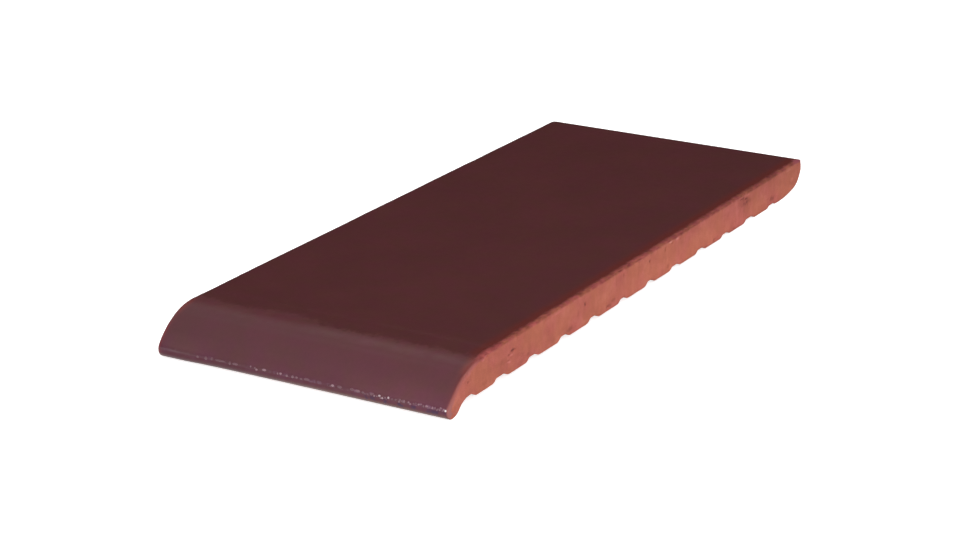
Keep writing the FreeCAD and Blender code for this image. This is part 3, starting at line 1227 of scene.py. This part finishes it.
def seen_directly(tree):
    """1 for rays that should see the backdrop: from the camera, off gloss and through glass."""
    path = tree.nodes.new("ShaderNodeLightPath")
    total = path.outputs["Is Camera Ray"]
    for name in ("Is Glossy Ray", "Is Transmission Ray"):
        add = tree.nodes.new("ShaderNodeMath")
        add.operation = "ADD"
        add.use_clamp = True
        tree.links.new(total, add.inputs[0])
        tree.links.new(path.outputs[name], add.inputs[1])
        total = add.outputs["Value"]
    return total


def choose_by_ray(tree, unseen, seen, output_kind):
    """Sends one shader to the rays that see it directly, and the other to the rest."""
    mix = tree.nodes.new("ShaderNodeMixShader")
    output = tree.nodes.new(output_kind)
    tree.links.new(seen_directly(tree), mix.inputs["Fac"])
    tree.links.new(unseen, mix.inputs[1])
    tree.links.new(seen, mix.inputs[2])
    tree.links.new(mix.outputs["Shader"], output.inputs["Surface"])


def light_world():
    world = bpy.data.worlds.new("studio")
    bpy.context.scene.world = world
    world.use_nodes = True
    tree = world.node_tree
    tree.nodes.clear()
    soft = add_node(tree, "ShaderNodeBackground", Strength=SOFT_STRENGTH, Color=WHITE)
    backdrop = add_node(tree, "ShaderNodeBackground", Strength=BACKDROP_STRENGTH, Color=WHITE)
    choose_by_ray(
        tree, soft.outputs["Background"], backdrop.outputs["Background"], "ShaderNodeOutputWorld"
    )


def make_floor():
    """A pale floor that looks white where nothing shades it."""
    bpy.ops.mesh.primitive_plane_add(size=FLOOR_SIZE)
    floor = bpy.context.object
    floor.name = "floor"
    material = bpy.data.materials.new("floor")
    material.use_nodes = True
    tree = material.node_tree
    tree.nodes.clear()
    paper = add_node(tree, "ShaderNodeBsdfDiffuse", Color=PAPER_GREY)
    glow = add_node(tree, "ShaderNodeEmission", Color=WHITE, Strength=FLOOR_GLOW)
    lit_paper = tree.nodes.new("ShaderNodeAddShader")
    tree.links.new(paper.outputs["BSDF"], lit_paper.inputs[0])
    tree.links.new(glow.outputs["Emission"], lit_paper.inputs[1])
    choose_by_ray(
        tree, paper.outputs["BSDF"], lit_paper.outputs["Shader"], "ShaderNodeOutputMaterial"
    )
    floor.data.materials.append(material)


def make_flag():
    """A dark wall all round, which only reflections see: it keeps the level glaze deep."""
    bpy.ops.mesh.primitive_cylinder_add(
        vertices=FLAG_SIDES,
        radius=FLAG_RADIUS,
        depth=FLAG_HEIGHT,
        end_fill_type="NOTHING",
        location=(0, 0, FLAG_HEIGHT / 2),
    )
    flag = bpy.context.object
    flag.name = "flag"
    material = bpy.data.materials.new("flag")
    material.use_nodes = True
    surface = material.node_tree.nodes["Principled BSDF"]
    surface.inputs["Base Color"].default_value = NEAR_BLACK
    surface.inputs["Roughness"].default_value = 1.0
    flag.data.materials.append(material)
    flag.visible_camera = False
    flag.visible_diffuse = False
    flag.visible_transmission = False
    flag.visible_volume_scatter = False
    flag.visible_shadow = False


def add_lamp(name, size, watts, azimuth, elevation, distance):
    """A soft round lamp that faces the tile, and that gloss doesn't mirror."""
    light = bpy.data.lights.new(name, "AREA")
    light.shape = "DISK"
    light.size = size
    light.energy = watts
    lamp = bpy.data.objects.new(name, light)
    bpy.context.scene.collection.objects.link(lamp)
    around = math.radians(azimuth)
    up = math.radians(elevation)
    toward = Vector((
        math.sin(around) * math.cos(up), -math.cos(around) * math.cos(up), math.sin(up),
    ))
    lamp.location = toward * distance
    lamp.rotation_euler = toward.to_track_quat("Z", "Y").to_euler()
    lamp.visible_camera = False
    lamp.visible_glossy = False


def add_camera():
    data = bpy.data.cameras.new("camera")
    data.sensor_width = SENSOR_WIDTH
    data.lens = LENS
    data.shift_x = SHIFT_X
    data.shift_y = SHIFT_Y
    data.clip_start = CLIP_START
    camera = bpy.data.objects.new("camera", data)
    camera.location = CAMERA_PLACE
    camera.rotation_euler = Euler([math.radians(turn) for turn in CAMERA_TURN])
    bpy.context.scene.collection.objects.link(camera)
    bpy.context.scene.camera = camera


add_camera()
light_world()
make_floor()
make_flag()
for lamp_row in LAMPS:
    add_lamp(*lamp_row)
add_tile()

bpy.context.scene.view_settings.view_transform = "Standard"
